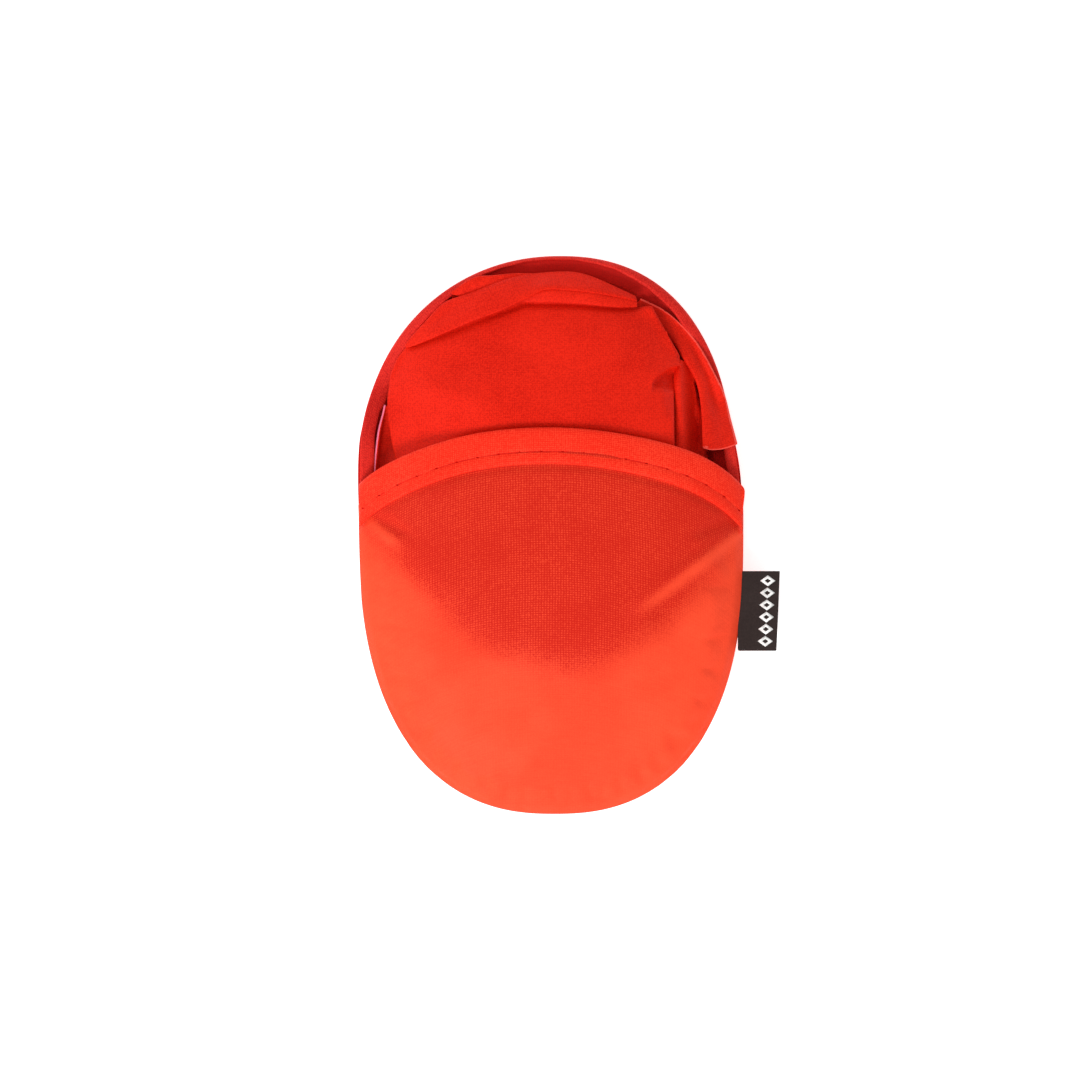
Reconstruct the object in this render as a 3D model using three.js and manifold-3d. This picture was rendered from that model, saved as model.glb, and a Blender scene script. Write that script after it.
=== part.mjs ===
// A foldable tote bag, folded flat and tucked into its own oval pouch, lying on its back.
// Millimetres. +X is to the right, +Y towards the open hood and +Z out of the front face.
// The origin is on the flat resting area of the back panel, under the middle of the pouch.
import * as THREE from 'three';
import { mergeVertices } from 'three/addons/utils/BufferGeometryUtils.js';
import Module from 'manifold-3d';

const wasm = await Module();
wasm.setup();

// Pouch outline: a toe (lower end) and a hood (upper end), each half a superellipse
const HALF_WIDTH = 50.4;
const TOE_LENGTH = 72.2;
const TOE_POWER = 2.4;
const TOE_LEAN = 0.9;
const HOOD_LENGTH = 61;
const HOOD_POWER = 2.2;
const HOOD_LEAN_IN = 4.6;
const HOOD_LEAN_OUT = 7.2;
const SIDE_MIDDLE_Y = 5.75;
const SIDE_HALF_LENGTH = 7.25;
const SIDE_SHARPNESS = 6;

// Pouch heights, to the inner skin of the front panel and the outer skin of the back panel
const CROWN = 18.2;
const DOME_POWER = 3;
const TOE_DOME_POWER = 2.1;
const DOME_ROUNDNESS = 0.8;
const SIDE_RIM = 7.2;
const TOE_RIM = 3.4;
const HOOD_RIM = 0.3;
const RIM_FALL_START = 0.12;
const RIM_FALL_END = 0.45;
const FLAT_SHARE = 0.72;
const SEAM_RISE = 1.4;

// Cloth and thread
const CLOTH = 0.8;
const BINDING = 1.4;
const THREAD = 0.4;
const GAP = 0.3;

// Mouth edge and its binding, seen from above; the lip above HINGE_Y folds outward
const MOUTH_TOP = 28.3;
const MOUTH_DROP = 15.5;
const MOUTH_MIDDLE_X = -1;
const MOUTH_HALF_WIDTH = 51.5;
const MOUTH_HOOK = 0.25;
const MOUTH_FLARE = 0.15;
const BAND_WIDTH = 9.5;
const MOUTH_THREAD_FROM = 6.5;
const MOUTH_THREAD_TO = 7.1;
const HINGE_Y = 13;

// Hood hem, seam allowance and seam thread, as shares of the outline
const HOOD_HEM_FROM = 0.93;
const HOOD_THREAD_FROM = 0.944;
const HOOD_THREAD_TO = 0.954;
const ALLOWANCE_FROM = 0.905;
const ALLOWANCE_TO = 0.95;
const SEAM_THREAD_FROM = 0.962;
const SEAM_THREAD_TO = 0.974;

// Label, a folded ribbon in the right-hand seam
const LABEL_INNER_X = 51.7;
const LABEL_OUTER_X = 60.6;
const LABEL_LOW_Y = -31;
const LABEL_HIGH_Y = -9.8;
const LABEL_Z = 8;
const LABEL_HALF_GAP = 0.15;
const LABEL_CLOTH = 0.4;

// Folded bag: depths are measured down from the inner skin of the pouch front
const PACKET_FLOOR = 3.1;
const BACK_HALF_WIDTH = 40.8;
const BACK_TOE_LENGTH = 28;
const BOTTOM_SEAM_WIDTH = 2.4;
const PACKET_LEFT_X = -44;
const PACKET_RIGHT_X = 34.6;
const PACKET_TOE_Y = -3;
const PACKET_TOE_LENGTH = 30;
const FRONT_TOP_DEPTH = 1.9;
const FRONT_UNDER_DEPTH = 5;
const INNER_HANDLE_TOP_DEPTH = 5.3;
const INNER_HANDLE_UNDER_DEPTH = 6.5;
const BACK_TOP_DEPTH = 6.8;
const FOLD_TOP_DEPTH = -0.9;
const FOLD_UNDER_DEPTH = 1.2;
const HANDLE_TOP_DEPTH = -0.6;
const HANDLE_UNDER_DEPTH = 0.9;
const SIDE_SEAM_TOP_DEPTH = 2.6;
const SIDE_SEAM_UNDER_DEPTH = 3.8;
const LEAST_LAYER = 0.8;

// Mesh fineness
const SEGMENTS = 48;
const RINGS = 8;
const RING_CROWDING = 1.6;
const EDGE_STEPS = 24;
const ARC_STEPS = 14;
const PRISM_HALF_HEIGHT = 60;
const FAR = 120;
const STEP = 0.01;
const MERGE_TOLERANCE = 1e-3;

const material = (color, roughness) => new THREE.MeshStandardMaterial({ color, roughness, metalness: 0 });
const shellRed = material(0xf2381f, 0.55);
const bindingRed = material(0xff3e24, 0.5);
const bagRed = material(0xd9200f, 0.6);
const threadRed = material(0xe02a14, 0.7);
const labelBlack = material(0x322d2c, 0.8);

// Surfaces are functions of a share of the way from the middle to the outline, and an angle

function outlineAt(share, angle) {
  const rise = Math.sin(angle);
  const run = Math.cos(angle);
  const inHood = rise > 0;
  const power = 2 / (inHood ? HOOD_POWER : TOE_POWER);
  const along = Math.abs(rise) ** power;
  const across = Math.sign(run) * Math.abs(run) ** power;
  const hoodLean = along * (HOOD_LEAN_OUT * along - HOOD_LEAN_IN);
  const lean = inHood ? hoodLean : TOE_LEAN * along;
  const side = SIDE_HALF_LENGTH * THREE.MathUtils.clamp(rise * SIDE_SHARPNESS, -1, 1);
  const end = inHood ? HOOD_LENGTH * along : -TOE_LENGTH * along;
  return new THREE.Vector2(HALF_WIDTH * across + lean, SIDE_MIDDLE_Y + side + end).multiplyScalar(share);
}

function rimHeight(angle) {
  const rise = Math.sin(angle);
  if (rise < 0) {
    return SIDE_RIM - (SIDE_RIM - TOE_RIM) * rise ** 2;
  }
  return SIDE_RIM + (HOOD_RIM - SIDE_RIM) * THREE.MathUtils.smoothstep(rise, RIM_FALL_START, RIM_FALL_END);
}

function backSkin(share, angle) {
  const { x, y } = outlineAt(share, angle);
  const dish = Math.max(0, (share - FLAT_SHARE) / (1 - FLAT_SHARE)) ** 2;
  return new THREE.Vector3(x, y, rimHeight(angle) * dish);
}

function frontSkin(share, angle) {
  const { x, y } = outlineAt(share, angle);
  const seam = rimHeight(angle) + SEAM_RISE;
  const toeward = Math.max(0, -Math.sin(angle));
  const power = THREE.MathUtils.lerp(DOME_POWER, TOE_DOME_POWER, toeward);
  const dome = Math.max(0, 1 - share ** power) ** DOME_ROUNDNESS;
  return new THREE.Vector3(x, y, seam + (CROWN - seam) * dome);
}

function seamSkin(share, angle) {
  return backSkin(share, angle).lerp(frontSkin(share, angle), 0.5);
}

function normalAt(skin, share, angle) {
  if (share < STEP) {
    return new THREE.Vector3(0, 0, 1);
  }
  const outward = skin(share, angle).sub(skin(share - STEP, angle));
  const around = skin(share, angle + STEP).sub(skin(share, angle - STEP));
  return outward.cross(around).normalize();
}

function raised(skin, distance) {
  return (share, angle) => skin(share, angle).addScaledVector(normalAt(skin, share, angle), distance);
}

function packetSkin(depth) {
  return (share, angle) => {
    const point = frontSkin(share, angle);
    point.z = Math.max(PACKET_FLOOR + LEAST_LAYER, point.z - depth);
    return point;
  };
}

function packetFloor(share, angle) {
  const { x, y } = outlineAt(share, angle);
  return new THREE.Vector3(x, y, PACKET_FLOOR);
}

// A closed sheet between two skins: a flat lathe disc whose two faces are bent onto them
function sheetBetween(under, over) {
  const shares = Array.from({ length: RINGS + 1 }, (_, i) => 1 - (1 - i / RINGS) ** RING_CROWDING);
  const lower = shares.map((share) => new THREE.Vector2(share, 0));
  const upper = shares.map((share) => new THREE.Vector2(share, 1)).reverse();
  const geometry = new THREE.LatheGeometry([...lower, ...upper], SEGMENTS);
  const position = geometry.getAttribute('position');
  for (let i = 0; i < position.count; i += 1) {
    const x = position.getX(i);
    const z = position.getZ(i);
    const skin = position.getY(i) < 0.5 ? under : over;
    const bent = skin(Math.hypot(x, z), Math.atan2(-z, x));
    position.setXYZ(i, bent.x, bent.y, bent.z);
  }
  return geometry;
}

const sheetOn = (skin, thickness) => sheetBetween(skin, raised(skin, thickness));

function toSolid(geometry) {
  const bare = geometry.clone();
  bare.deleteAttribute('normal');
  bare.deleteAttribute('uv');
  const merged = mergeVertices(bare, MERGE_TOLERANCE);
  const triangles = [];
  for (let i = 0; i < merged.index.count; i += 3) {
    const corners = [0, 1, 2].map((k) => merged.index.getX(i + k));
    if (new Set(corners).size === 3) {
      triangles.push(...corners);
    }
  }
  const vertProperties = merged.getAttribute('position').array;
  const triVerts = new Uint32Array(triangles);
  return new wasm.Manifold(new wasm.Mesh({ numProp: 3, vertProperties, triVerts }));
}

function toGeometry(solid) {
  const { vertProperties, triVerts } = solid.getMesh();
  const geometry = new THREE.BufferGeometry();
  geometry.setAttribute('position', new THREE.BufferAttribute(vertProperties, 3));
  geometry.setIndex(new THREE.BufferAttribute(triVerts, 1));
  geometry.computeVertexNormals();
  return geometry;
}

// Cutters: upright prisms that run through the whole object

function prism(points, holePoints = null) {
  const shape = new THREE.Shape(points);
  if (holePoints) {
    shape.holes.push(new THREE.Path(holePoints));
  }
  const geometry = new THREE.ExtrudeGeometry(shape, { depth: 2 * PRISM_HALF_HEIGHT, bevelEnabled: false });
  return toSolid(geometry.translate(0, 0, -PRISM_HALF_HEIGHT));
}

function rectanglePrism(lowX, lowY, highX, highY) {
  const geometry = new THREE.BoxGeometry(highX - lowX, highY - lowY, 2 * PRISM_HALF_HEIGHT);
  return toSolid(geometry.translate((lowX + highX) / 2, (lowY + highY) / 2, 0));
}

const below = (y) => rectanglePrism(-FAR, -FAR, FAR, y);
const above = (y) => rectanglePrism(-FAR, y, FAR, FAR);
const leftHalf = rectanglePrism(-FAR, -FAR, 0, FAR);
const rightHalf = rectanglePrism(0, -FAR, FAR, FAR);

function mouthY(x, inset) {
  const t = (x - MOUTH_MIDDLE_X) / MOUTH_HALF_WIDTH;
  const drop = MOUTH_DROP * ((1 - MOUTH_HOOK) * t ** 2 + MOUTH_HOOK * t ** 8);
  return MOUTH_TOP - drop - inset * (1 + MOUTH_FLARE * t ** 2);
}

function mouthLine(inset) {
  const reach = HALF_WIDTH * 1.15;
  return Array.from({ length: EDGE_STEPS + 1 }, (_, i) => {
    const x = reach * (2 * i / EDGE_STEPS - 1);
    return new THREE.Vector2(x, mouthY(x, inset));
  });
}

const mouthBand = (from, to) => prism([...mouthLine(to), ...mouthLine(from).reverse()]);

function outlineLoop(share) {
  return Array.from({ length: SEGMENTS }, (_, i) => outlineAt(share, 2 * Math.PI * i / SEGMENTS));
}

const ringBetween = (inner, outer) => prism(outlineLoop(outer), outlineLoop(inner));

const points = (pairs) => pairs.map(([x, y]) => new THREE.Vector2(x, y));

function packetToe(leftX, rightX, length) {
  return Array.from({ length: ARC_STEPS + 1 }, (_, i) => {
    const turn = Math.PI * i / ARC_STEPS;
    const x = (leftX + rightX) / 2 - (rightX - leftX) / 2 * Math.cos(turn);
    return new THREE.Vector2(x, PACKET_TOE_Y - length * Math.sin(turn));
  });
}

// Pouch

const fullFront = toSolid(sheetOn(frontSkin, CLOTH));
const boundFront = toSolid(sheetOn(frontSkin, BINDING));
const threadedFront = toSolid(sheetOn(raised(frontSkin, BINDING + GAP), THREAD));
const underBand = mouthBand(BAND_WIDTH + GAP, 2 * FAR);
const wholeBand = mouthBand(0, BAND_WIDTH);
const threadBand = mouthBand(MOUTH_THREAD_FROM, MOUTH_THREAD_TO);
const fixedSide = below(HINGE_Y - GAP / 2);
const lipSide = above(HINGE_Y + GAP / 2);

function pouchBackPanel() {
  const hem = ringBetween(HOOD_HEM_FROM - GAP / HALF_WIDTH, 1.2).intersect(above(HINGE_Y - GAP / 2));
  return toGeometry(toSolid(sheetOn(backSkin, CLOTH)).subtract(hem));
}

function hoodBinding() {
  const hem = ringBetween(HOOD_HEM_FROM, 1.2).intersect(above(HINGE_Y + GAP / 2));
  return toGeometry(toSolid(sheetOn(backSkin, BINDING)).intersect(hem));
}

function hoodThread() {
  const path = ringBetween(HOOD_THREAD_FROM, HOOD_THREAD_TO).intersect(above(HINGE_Y + 1));
  return toGeometry(toSolid(sheetOn(raised(backSkin, BINDING + GAP), THREAD)).intersect(path));
}

const pouchFrontPanel = () => toGeometry(fullFront.intersect(underBand).intersect(fixedSide));

const pouchLipPanel = () => toGeometry(fullFront.intersect(underBand).intersect(lipSide));

const mouthBinding = () => toGeometry(boundFront.intersect(wholeBand).intersect(lipSide));

const mouthThread = () => toGeometry(threadedFront.intersect(threadBand).intersect(lipSide));

const mouthBindingEnd = (half) => toGeometry(boundFront.intersect(wholeBand).intersect(fixedSide).intersect(half));

const mouthThreadEnd = (half) => toGeometry(threadedFront.intersect(threadBand).intersect(fixedSide).intersect(half));

function pouchSeamAllowance() {
  const strip = ringBetween(ALLOWANCE_FROM, ALLOWANCE_TO).intersect(fixedSide);
  return toGeometry(toSolid(sheetOn(seamSkin, CLOTH)).intersect(strip));
}

function pouchSeamThread() {
  const path = ringBetween(SEAM_THREAD_FROM, SEAM_THREAD_TO).intersect(fixedSide);
  return toGeometry(toSolid(sheetOn(seamSkin, THREAD)).intersect(path));
}

function labelRibbon() {
  const inner = LABEL_HALF_GAP;
  const outer = LABEL_HALF_GAP + LABEL_CLOTH;
  const shape = new THREE.Shape();
  shape.moveTo(LABEL_INNER_X, -outer);
  shape.lineTo(LABEL_OUTER_X - outer, -outer);
  shape.absarc(LABEL_OUTER_X - outer, 0, outer, -Math.PI / 2, Math.PI / 2);
  shape.lineTo(LABEL_INNER_X, outer);
  shape.lineTo(LABEL_INNER_X, inner);
  shape.lineTo(LABEL_OUTER_X - outer, inner);
  shape.absarc(LABEL_OUTER_X - outer, 0, inner, Math.PI / 2, -Math.PI / 2, true);
  shape.lineTo(LABEL_INNER_X, -inner);
  const depth = LABEL_HIGH_Y - LABEL_LOW_Y;
  const geometry = new THREE.ExtrudeGeometry(shape, { depth, bevelEnabled: false, curveSegments: 4 });
  return geometry.rotateX(Math.PI / 2).translate(0, LABEL_HIGH_Y, LABEL_Z);
}

// Folded bag

function packetPiece(underDepth, topDepth, outline) {
  const layer = toSolid(sheetBetween(packetSkin(underDepth), packetSkin(topDepth)));
  return toGeometry(layer.intersect(prism(outline)));
}

function bagBackPanel() {
  const layer = toSolid(sheetBetween(packetFloor, packetSkin(BACK_TOP_DEPTH)));
  const outline = [
    ...packetToe(-BACK_HALF_WIDTH, BACK_HALF_WIDTH, BACK_TOE_LENGTH),
    ...points([[40.6, 28], [36, 44], [24, 57], [0, 64], [-20, 61], [-34, 48], [-40.6, 28]]),
  ];
  return toGeometry(layer.intersect(prism(outline)));
}

function bagFrontPanel() {
  const outline = [
    ...packetToe(PACKET_LEFT_X, PACKET_RIGHT_X, PACKET_TOE_LENGTH),
    ...points([[33.1, 42.1], [34.4, 44.8], [29.4, 56.2], [27.6, 61.2], [13, 61]]),
    ...points([[-1.6, 61], [-18.8, 55.4], [-36.8, 47.4], [-42.7, 41], [-44.2, 28]]),
  ];
  return packetPiece(FRONT_UNDER_DEPTH, FRONT_TOP_DEPTH, outline);
}

function bagTopFold() {
  const upper = [[24.4, 61], [18.3, 66], [10.3, 69.4], [-8.2, 69.8], [-17, 69.2], [-24.9, 66.2], [-44, 41.5]];
  const lower = [[-37, 46], [-18.8, 53.6], [-1.6, 60], [13, 60.2]];
  return packetPiece(FOLD_UNDER_DEPTH, FOLD_TOP_DEPTH, points([...upper, ...lower]));
}

function bagHandleFront() {
  const outer = [[45.3, 22.3], [48.6, 23.6], [46.9, 31.5], [44.3, 39.5], [41.1, 47.4], [36.8, 54.1], [31, 59.9]];
  const inner = [[26, 62.4], [29.6, 57.4], [35, 48.8], [38.7, 42.1], [40.5, 35.5], [40.3, 21.5]];
  return packetPiece(HANDLE_UNDER_DEPTH, HANDLE_TOP_DEPTH, points([...outer, ...inner]));
}

function bagHandleBack() {
  const outline = points([[-24, -22], [14, -22], [14, 40], [-24, 40]]);
  return packetPiece(INNER_HANDLE_UNDER_DEPTH, INNER_HANDLE_TOP_DEPTH, outline);
}

function bagSideSeamRight() {
  const outline = points([[35, -8], [41.6, -8], [41.6, 24], [38.6, 40], [35, 46]]);
  return packetPiece(SIDE_SEAM_UNDER_DEPTH, SIDE_SEAM_TOP_DEPTH, outline);
}

function bagSideSeamLeft() {
  const outline = points([[-47, 18.8], [-46, 18.8], [-44.8, 34], [-45.8, 34]]);
  return packetPiece(SIDE_SEAM_UNDER_DEPTH, SIDE_SEAM_TOP_DEPTH, outline);
}

function bagBottomSeam() {
  const seamDepth = INNER_HANDLE_UNDER_DEPTH;
  const inner = packetToe(-BACK_HALF_WIDTH, BACK_HALF_WIDTH, BACK_TOE_LENGTH + GAP).slice(3, -3);
  const outer = packetToe(-BACK_HALF_WIDTH, BACK_HALF_WIDTH, BACK_TOE_LENGTH + BOTTOM_SEAM_WIDTH).slice(3, -3);
  return packetPiece(seamDepth + CLOTH, seamDepth, [...outer, ...inner.reverse()]);
}

const tote = new THREE.Group();

function add(name, geometry, finish) {
  const mesh = new THREE.Mesh(geometry, finish);
  mesh.name = name;
  tote.add(mesh);
}

add('pouch_back_panel', pouchBackPanel(), shellRed);
add('pouch_front_panel', pouchFrontPanel(), shellRed);
add('mouth_binding_end_left', mouthBindingEnd(leftHalf), bindingRed);
add('mouth_binding_end_right', mouthBindingEnd(rightHalf), bindingRed);
add('mouth_thread_end_left', mouthThreadEnd(leftHalf), threadRed);
add('mouth_thread_end_right', mouthThreadEnd(rightHalf), threadRed);
add('hood_binding', hoodBinding(), bindingRed);
add('hood_thread', hoodThread(), threadRed);
add('pouch_seam_allowance', pouchSeamAllowance(), shellRed);
add('pouch_seam_thread', pouchSeamThread(), threadRed);
add('pouch_lip_panel', pouchLipPanel(), shellRed);
add('mouth_binding', mouthBinding(), bindingRed);
add('mouth_thread', mouthThread(), threadRed);
add('label_ribbon', labelRibbon(), labelBlack);
add('bag_back_panel', bagBackPanel(), bagRed);
add('bag_front_panel', bagFrontPanel(), bagRed);
add('bag_top_fold', bagTopFold(), bagRed);
add('bag_handle_front', bagHandleFront(), bagRed);
add('bag_handle_back', bagHandleBack(), bagRed);
add('bag_side_seam_right', bagSideSeamRight(), bagRed);
add('bag_side_seam_left', bagSideSeamLeft(), bagRed);
add('bag_bottom_seam', bagBottomSeam(), bagRed);

export default tote;
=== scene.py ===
"""Looks of a foldable tote bag in its oval pouch. Lengths are in millimetres until a mesh is made."""
import math

import bpy
import numpy as np
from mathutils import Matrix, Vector


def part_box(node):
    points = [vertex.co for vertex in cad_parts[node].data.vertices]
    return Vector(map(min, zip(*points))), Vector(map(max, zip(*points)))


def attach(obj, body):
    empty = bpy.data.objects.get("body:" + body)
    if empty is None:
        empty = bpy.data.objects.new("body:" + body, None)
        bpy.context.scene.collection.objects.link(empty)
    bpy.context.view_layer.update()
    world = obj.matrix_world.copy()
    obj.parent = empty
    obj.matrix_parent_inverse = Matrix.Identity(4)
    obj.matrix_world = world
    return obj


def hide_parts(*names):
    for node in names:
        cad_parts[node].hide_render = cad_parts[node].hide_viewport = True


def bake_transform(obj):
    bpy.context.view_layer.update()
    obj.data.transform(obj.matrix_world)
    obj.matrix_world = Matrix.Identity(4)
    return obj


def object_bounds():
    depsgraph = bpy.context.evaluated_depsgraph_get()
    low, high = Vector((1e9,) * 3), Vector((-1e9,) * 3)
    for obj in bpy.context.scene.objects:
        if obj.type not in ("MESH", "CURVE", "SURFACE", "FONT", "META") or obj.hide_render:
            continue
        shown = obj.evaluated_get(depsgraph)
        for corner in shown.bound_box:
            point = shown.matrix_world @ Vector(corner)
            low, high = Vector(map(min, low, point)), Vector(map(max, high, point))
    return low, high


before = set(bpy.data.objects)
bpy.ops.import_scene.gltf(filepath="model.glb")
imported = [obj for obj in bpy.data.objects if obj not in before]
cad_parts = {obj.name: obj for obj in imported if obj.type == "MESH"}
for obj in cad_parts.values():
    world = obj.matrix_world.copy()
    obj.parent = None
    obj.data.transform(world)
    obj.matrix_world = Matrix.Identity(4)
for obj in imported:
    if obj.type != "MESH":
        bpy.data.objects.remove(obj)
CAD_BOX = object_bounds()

MM = 0.001


def box_mm(node):
    """The lowest and highest corners of a CAD node, in millimetres."""
    low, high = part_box(node)
    return np.array(low) / MM, np.array(high) / MM


BACK_LOW, BACK_HIGH = box_mm("pouch_back_panel")
LABEL_LOW, LABEL_HIGH = box_mm("label_ribbon")
HOOD_TOP_Y = box_mm("hood_binding")[1][1]
FRONT_TOP_Z = box_mm("pouch_front_panel")[1][2]

# Pouch outline, as in the CAD: a rounded toe and hood that lean a little, and a pinch beside the strap
HALF_WIDTH = (BACK_HIGH[0] - BACK_LOW[0]) / 2
TOE_POWER = 2.4
HOOD_POWER = 2.2
SIDE_LOW_Y = -1.5
SIDE_TOP_Y = 13.0
TOE_LENGTH = SIDE_LOW_Y - BACK_LOW[1]
HOOD_LENGTH = HOOD_TOP_Y - SIDE_TOP_Y
TOE_LEAN = 0.9
HOOD_LEAN_IN = 4.6
HOOD_LEAN_OUT = 7.2
PINCH_DEPTH = 0.9
PINCH_Y = 28.0
PINCH_REACH = 9.0

# Pouch heights: the seam lies low at the toe, higher along the sides and low again round the hood
CLOTH = 0.8
CROWN = FRONT_TOP_Z - CLOTH
SEAM_RISE = 1.4
SIDE_RIM = 7.2
TOE_RIM = 3.4
HOOD_RIM = 0.3
RIM_FALL = (0.12, 0.45)
FLAT_SHARE = 0.72

# Mouth edge and tape
MOUTH_TOP = 27.75
MOUTH_DROP = 15.5
MOUTH_MIDDLE_X = -1.0
MOUTH_HALF_WIDTH = 51.5
TAPE_WIDTH = 9.5
STITCH_INSET = 6.15


# ---------------- stage


def assign(target, **values):
    for key, value in values.items():
        setattr(target, key, value)


def link_object(name, data):
    """A new object in the scene."""
    obj = bpy.data.objects.new(name, data)
    bpy.context.collection.objects.link(obj)
    return obj


def add_camera():
    """Straight above the front face, a little off the middle as the object sits in the frame."""
    camera = bpy.data.cameras.new("camera")
    assign(camera, lens=110, sensor_width=36, clip_end=20)
    frame_width = 286.2 * MM
    aim_x, aim_y, aim_z = -0.0029, -0.0016, 0.008
    distance = frame_width * camera.lens / camera.sensor_width
    holder = link_object("camera", camera)
    holder.location = (aim_x, aim_y, aim_z + distance)
    bpy.context.scene.camera = holder


def add_light(name, place, size, power):
    """A soft round light aimed at the object."""
    light = bpy.data.lights.new(name, "AREA")
    assign(light, shape="DISK", size=size, energy=power)
    turn = (-Vector(place)).to_track_quat("-Z", "Y").to_euler()
    assign(link_object(name, light), location=place, rotation_euler=turn)


def add_stage():
    """White surroundings, two soft lights and a floor of pale paper."""
    world = bpy.data.worlds.new("studio")
    world.use_nodes = True
    background = world.node_tree.nodes["Background"]
    background.inputs["Color"].default_value = (1, 1, 1, 1)
    background.inputs["Strength"].default_value = 0.64
    bpy.context.scene.world = world
    add_light("key", (-0.35, -0.9, 1.05), 0.5, 12.5)
    add_light("fill", (-1.0, 0.3, 0.9), 0.8, 4.5)
    mesh = bpy.data.meshes.new("floor")
    reach = 3.0
    corners = [(-reach, -reach, 0), (reach, -reach, 0), (reach, reach, 0), (-reach, reach, 0)]
    mesh.from_pydata(corners, [], [(0, 1, 2, 3)])
    floor = link_object("floor", mesh)
    floor.location.z = CAD_BOX[0][2] - 0.0002
    paper = {"Base Color": (0.93, 0.93, 0.93, 1), "Roughness": 0.9}
    glow = {"Emission Color": (1, 1, 1, 1), "Emission Strength": 0.62}
    mesh.materials.append(Nodes("white_paper").done({**paper, **glow}))
    bpy.context.scene.view_settings.view_transform = "Standard"


add_camera()


# ---------------- curves and surfaces


def smoothstep(value, low, high):
    t = np.clip((value - low) / (high - low), 0, 1)
    return t * t * (3 - 2 * t)


def outline(angle):
    """The pouch's outline seen from above: a superellipse toe and hood, joined by straight sides."""
    rise, run = np.sin(angle), np.cos(angle)
    in_hood = rise > 0
    power = 2 / np.where(in_hood, HOOD_POWER, TOE_POWER)
    along = np.abs(rise) ** power
    across = np.sign(run) * np.abs(run) ** power
    lean = np.where(in_hood, along * (HOOD_LEAN_OUT * along - HOOD_LEAN_IN), TOE_LEAN * along)
    middle = (SIDE_TOP_Y + SIDE_LOW_Y) / 2
    side = (SIDE_TOP_Y - SIDE_LOW_Y) / 2 * np.clip(rise * 6, -1, 1)
    end = np.where(in_hood, HOOD_LENGTH, -TOE_LENGTH) * along
    y = middle + side + end
    pinch = PINCH_DEPTH * np.exp(-(((y - PINCH_Y) / PINCH_REACH) ** 2)) * (run > 0)
    return np.stack([HALF_WIDTH * across + lean - pinch, y], -1)


TABLE_ANGLES = np.linspace(-math.pi, math.pi, 1441)
TABLE_POINTS = outline(TABLE_ANGLES)
TABLE_BEARINGS = np.maximum.accumulate(np.unwrap(np.arctan2(TABLE_POINTS[:, 1], TABLE_POINTS[:, 0])))
TABLE_REACH = np.hypot(TABLE_POINTS[:, 0], TABLE_POINTS[:, 1])


def share_and_angle(x, y):
    """How far out a point is, from 0 in the middle to 1 on the outline, and the outline's angle there."""
    start = TABLE_BEARINGS[0]
    bearing = start + np.mod(np.arctan2(y, x) - start, 2 * math.pi)
    reach = np.interp(bearing, TABLE_BEARINGS, TABLE_REACH)
    return np.hypot(x, y) / reach, np.interp(bearing, TABLE_BEARINGS, TABLE_ANGLES)


def rim_height(angle):
    """Height of the back panel's edge round the outline."""
    rise = np.sin(angle)
    toe = SIDE_RIM - (SIDE_RIM - TOE_RIM) * rise**2
    hood = SIDE_RIM + (HOOD_RIM - SIDE_RIM) * smoothstep(rise, *RIM_FALL)
    return np.where(rise < 0, toe, hood)


def dome(x, y):
    """Height of the inner skin of the pouch's front, carried on over the folded bag past the mouth."""
    share, angle = share_and_angle(x, y)
    seam = rim_height(angle) + SEAM_RISE
    power = 3 - 0.9 * np.maximum(0, -np.sin(angle))
    return seam + (CROWN - seam) * np.maximum(0, 1 - share**power) ** 0.8


def dish(x, y):
    """Height of the outside of the pouch's back."""
    share, angle = share_and_angle(x, y)
    return rim_height(angle) * np.maximum(0, (share - FLAT_SHARE) / (1 - FLAT_SHARE)) ** 2


def mouth_y(x, inset=0.0):
    """The mouth's arched edge, or a line that far down the front from it."""
    t = (x - MOUTH_MIDDLE_X) / MOUTH_HALF_WIDTH
    lean = 0.4 * smoothstep(x, 18, 40) - 0.9 * smoothstep(-x, 18, 44)
    return MOUTH_TOP - MOUTH_DROP * (0.75 * t**2 + 0.25 * t**8) + lean - inset * (1 + 0.20 * t**2)


def distance_along(x, y, points):
    """Signed distance to a smooth line, positive on its left, and how far along it that is, from 0 to 1."""
    line = spline(points, 60)
    start, run = line[:-1], np.diff(line, axis=0)
    dx = np.asarray(x)[..., None] - start[:, 0]
    dy = np.asarray(y)[..., None] - start[:, 1]
    t = np.clip((dx * run[:, 0] + dy * run[:, 1]) / (run**2).sum(1), 0, 1)
    far = np.hypot(dx - t * run[:, 0], dy - t * run[:, 1])
    near = np.argmin(far, axis=-1)[..., None]
    side = np.sign(np.take_along_axis(run[:, 0] * dy - run[:, 1] * dx, near, -1))
    share = (near + np.take_along_axis(t, near, -1)) / len(start)
    return (np.take_along_axis(far, near, -1) * side)[..., 0], share[..., 0]


def crease(x, y, points, height, width, ends=0.3):
    """A soft fold along a curved line, fading towards both ends."""
    off, t = distance_along(x, y, points)
    fade = smoothstep(t, 0, ends) * (1 - smoothstep(t, 1 - ends, 1))
    return height * fade * np.exp(-((off / width) ** 2))


def step_down(x, y, points, depth, soft, reach):
    """The drop beside a flap's edge: sharp, on the line's left-hand side, and gone again within reach."""
    off, t = distance_along(x, y, points)
    fade = 1 - smoothstep(t, 0.55, 1.0)
    beyond = np.maximum(0, off)
    return -depth * fade * smoothstep(off, -soft, soft) * np.exp(-((beyond / reach) ** 2))


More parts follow.
